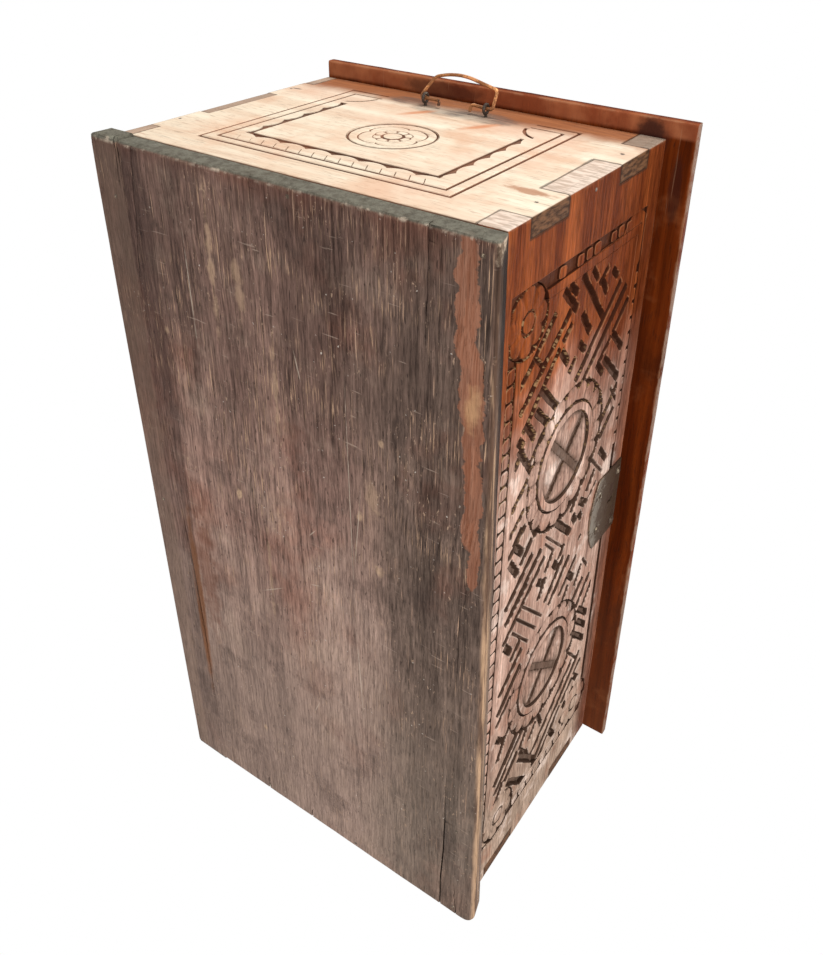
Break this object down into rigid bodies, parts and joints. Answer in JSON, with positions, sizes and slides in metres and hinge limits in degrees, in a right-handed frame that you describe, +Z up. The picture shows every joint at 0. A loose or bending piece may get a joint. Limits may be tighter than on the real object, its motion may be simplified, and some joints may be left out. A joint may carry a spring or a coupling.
{
  "type": "storage chest",
  "caption": "Low carved wooden coffer with a thin overhanging lid on linked wire hinges, a wire bail handle at each end and an iron till lock behind a front plate.",
  "frame": {"origin": "on the underside of the base, under the middle of the body (bails, lid overhang and base lips not counted)", "axes": "+X along the chest, left to right as one faces the carved front; +Y from the carved front to the back; +Z up"},
  "size_m": [0.6359, 0.3386, 0.2431],
  "materials": {
    "teak_front": "dry oiled, dusty in the carving",
    "teak_ends": "dry, faded",
    "teak_back": "dry, unpolished",
    "teak_lid": "worn, waxed",
    "teak_base": "grey, weathered",
    "sheet_iron": "dull brown patina",
    "wrought_iron": "rusty, dull",
    "iron_wire": "worn grey iron",
    "copper_wire": "handled, semi-bright"
  },
  "bodies": {
    "case": {"base_board": "teak_base", "base_back_strip": "teak_base", "front_panel": "teak_front", "back_panel": "teak_back", "left_end_panel": "teak_ends", "right_end_panel": "teak_ends", "base_nails": "wrought_iron", "corner_nails": "wrought_iron", "strip_nails": "wrought_iron", "lock_plate": "sheet_iron", "lock_plate_nails": "wrought_iron", "lock_case": "sheet_iron", "lock_case_nails": "wrought_iron", "left_bail_front_pin": "iron_wire", "left_bail_back_pin": "iron_wire", "right_bail_front_pin": "iron_wire", "right_bail_back_pin": "iron_wire", "left_hinge_case_pin": "iron_wire", "right_hinge_case_pin": "iron_wire"},
    "lid": {"lid_board": "teak_lid", "left_hinge_lid_pin": "iron_wire", "right_hinge_lid_pin": "iron_wire", "lid_staple": "wrought_iron"},
    "left_bail": {"left_bail": "copper_wire"},
    "right_bail": {"right_bail": "copper_wire"},
    "lock_bolt": {"lock_bolt": "wrought_iron"}
  },
  "joints": [
    {"name": "lid_hinge", "type": "hinge", "parent": "case", "child": "lid", "pos_m": [0, 0.16, 0.2313], "axis": [-1, 0, 0], "range_deg": [0, 110]},
    {"name": "left_bail_swing", "type": "hinge", "parent": "case", "child": "left_bail", "pos_m": [-0.3058, 0.0044, 0.2043], "axis": [0, 1, 0], "range_deg": [-123, 73]},
    {"name": "right_bail_swing", "type": "hinge", "parent": "case", "child": "right_bail", "pos_m": [0.3058, 0.0044, 0.2043], "axis": [0, -1, 0], "range_deg": [0, 196]},
    {"name": "bolt_slide", "type": "slide", "parent": "case", "child": "lock_bolt", "axis": [1, 0, 0], "range_m": [0, 0.008]}
  ]
}
